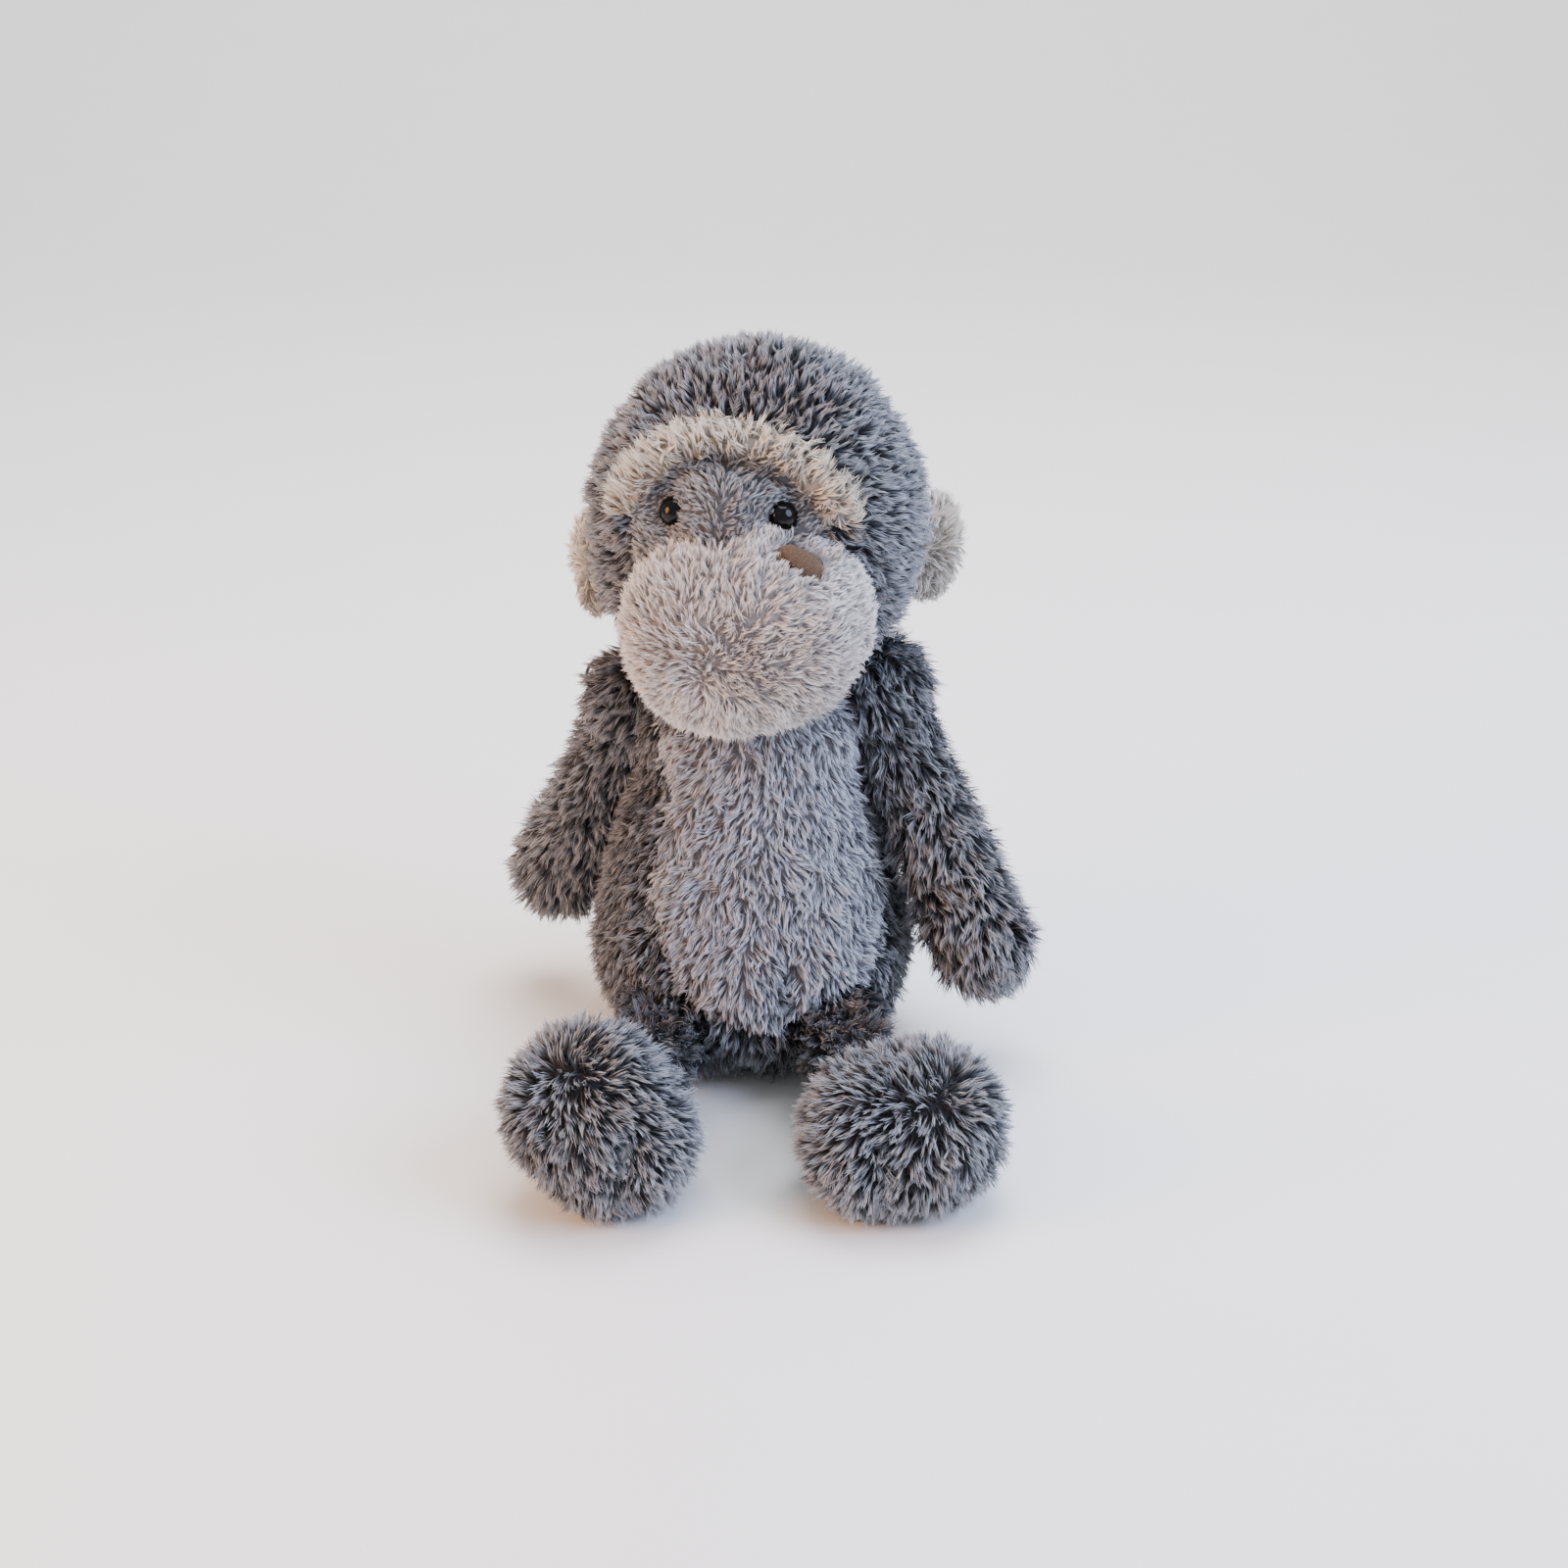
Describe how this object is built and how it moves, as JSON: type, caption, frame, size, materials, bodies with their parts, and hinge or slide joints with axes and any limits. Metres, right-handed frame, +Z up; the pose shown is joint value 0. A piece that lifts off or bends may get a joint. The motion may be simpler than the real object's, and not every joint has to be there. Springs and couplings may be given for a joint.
{
  "type": "plush ape",
  "caption": "Sitting stuffed ape with a round head, pale muzzle and belly, long arms and short forward legs; soft limbs, neck and ears bend at their seams.",
  "frame": {"origin": "middle of the flat seat, on the surface the toy sits on", "axes": "+Z up; the face and the soles look along -Y; the ape's own left arm is at +X"},
  "size_m": [0.1855, 0.1878, 0.24],
  "materials": {
    "dark_pile": "long tipped plush pile",
    "belly_pile": "short plush pile",
    "cream_pile": "plush pile",
    "face_pile": "short plush pile",
    "muzzle_pile": "short plush pile",
    "nose_suede": "brushed suede cloth",
    "eye_plastic": "polished black",
    "washer_plastic": "moulded",
    "polyester_fill": "loose fibre",
    "pouch_cloth": "plain woven",
    "pellets": "moulded pellets",
    "thread": "twisted thread"
  },
  "bodies": {
    "torso": {"seat_panel": "dark_pile", "belly_panel": "belly_pile", "torso_panel_left": "dark_pile", "torso_panel_right": "dark_pile", "torso_stuffing": "polyester_fill", "seat_pouch": "pouch_cloth", "seat_pellets": "pellets", "closing_stitches": "thread"},
    "neck": {"neck_seam": "thread"},
    "head": {"face_panel": "face_pile", "brow_panel": "cream_pile", "head_crown": "dark_pile", "head_side_left": "dark_pile", "head_side_right": "dark_pile", "muzzle_front_panel": "muzzle_pile", "muzzle_side_left": "muzzle_pile", "muzzle_side_right": "muzzle_pile", "nose": "nose_suede", "eye_left": "eye_plastic", "eye_right": "eye_plastic", "eye_washer_left": "washer_plastic", "eye_washer_right": "washer_plastic", "head_stuffing": "polyester_fill"},
    "ear_left": {"ear_front_left": "cream_pile", "ear_back_left": "cream_pile"},
    "shoulder_left": {"shoulder_seam_left": "thread"},
    "arm_left": {"arm_skin_left": "dark_pile", "arm_stuffing_left": "polyester_fill"},
    "hip_left": {"hip_seam_left": "thread"},
    "leg_left": {"leg_skin_left": "dark_pile", "leg_stuffing_left": "polyester_fill"},
    "foot_left": {"foot_upper_left": "dark_pile", "foot_sole_left": "dark_pile", "foot_stuffing_left": "polyester_fill", "foot_bean_bag_left": "pouch_cloth"},
    "ear_right": {"ear_front_right": "cream_pile", "ear_back_right": "cream_pile"},
    "shoulder_right": {"shoulder_seam_right": "thread"},
    "arm_right": {"arm_skin_right": "dark_pile", "arm_stuffing_right": "polyester_fill"},
    "hip_right": {"hip_seam_right": "thread"},
    "leg_right": {"leg_skin_right": "dark_pile", "leg_stuffing_right": "polyester_fill"},
    "foot_right": {"foot_upper_right": "dark_pile", "foot_sole_right": "dark_pile", "foot_stuffing_right": "polyester_fill", "foot_bean_bag_right": "pouch_cloth"}
  },
  "joints": [
    {"name": "neck_turn", "type": "hinge", "parent": "torso", "child": "neck", "pos_m": [0.0025, 0.002, 0.189], "axis": [0, 0, 1], "range_deg": [-25, 45]},
    {"name": "neck_nod", "type": "hinge", "parent": "neck", "child": "head", "pos_m": [0.0025, 0.002, 0.189], "axis": [0.9816, -0.1908, 0], "range_deg": [-20, 3]},
    {"name": "ear_fold_left", "type": "hinge", "parent": "head", "child": "ear_left", "pos_m": [0.0553, -0.00826, 0.17658], "axis": [0, 0, -1], "range_deg": [-8, 25]},
    {"name": "arm_swing_left", "type": "hinge", "parent": "torso", "child": "shoulder_left", "pos_m": [0.04212, 0.003, 0.126], "axis": [-0.9063, 0, 0.4226], "range_deg": [-45, 65]},
    {"name": "arm_lift_left", "type": "hinge", "parent": "shoulder_left", "child": "arm_left", "pos_m": [0.04212, 0.003, 0.126], "axis": [0, -1, 0], "range_deg": [-2, 35]},
    {"name": "leg_swing_left", "type": "hinge", "parent": "torso", "child": "hip_left", "pos_m": [0.027, -0.038, 0.0215], "axis": [-0.9659, -0.2588, 0], "range_deg": [-15, 15]},
    {"name": "leg_spread_left", "type": "hinge", "parent": "hip_left", "child": "leg_left", "pos_m": [0.027, -0.038, 0.0215], "axis": [0, 0, 1], "range_deg": [-6, 22]},
    {"name": "ankle_bend_left", "type": "hinge", "parent": "leg_left", "child": "foot_left", "pos_m": [0.04175, -0.09303, 0.02322], "axis": [-0.9659, -0.2588, 0], "range_deg": [-12, 12]},
    {"name": "ear_fold_right", "type": "hinge", "parent": "head", "child": "ear_right", "pos_m": [-0.047, 0.01162, 0.16655], "axis": [0, 0, 1], "range_deg": [-8, 25]},
    {"name": "arm_swing_right", "type": "hinge", "parent": "torso", "child": "shoulder_right", "pos_m": [-0.04212, 0.006, 0.126], "axis": [-0.9063, 0, -0.4226], "range_deg": [-15, 95]},
    {"name": "arm_lift_right", "type": "hinge", "parent": "shoulder_right", "child": "arm_right", "pos_m": [-0.04212, 0.006, 0.126], "axis": [0, 1, 0], "range_deg": [-2, 35]},
    {"name": "leg_swing_right", "type": "hinge", "parent": "torso", "child": "hip_right", "pos_m": [-0.027, -0.038, 0.0215], "axis": [-0.9744, 0.225, 0], "range_deg": [-15, 15]},
    {"name": "leg_spread_right", "type": "hinge", "parent": "hip_right", "child": "leg_right", "pos_m": [-0.027, -0.038, 0.0215], "axis": [0, 0, -1], "range_deg": [-6, 22]},
    {"name": "ankle_bend_right", "type": "hinge", "parent": "leg_right", "child": "foot_right", "pos_m": [-0.03978, -0.09336, 0.02609], "axis": [-0.9744, 0.225, 0], "range_deg": [-12, 12]}
  ]
}
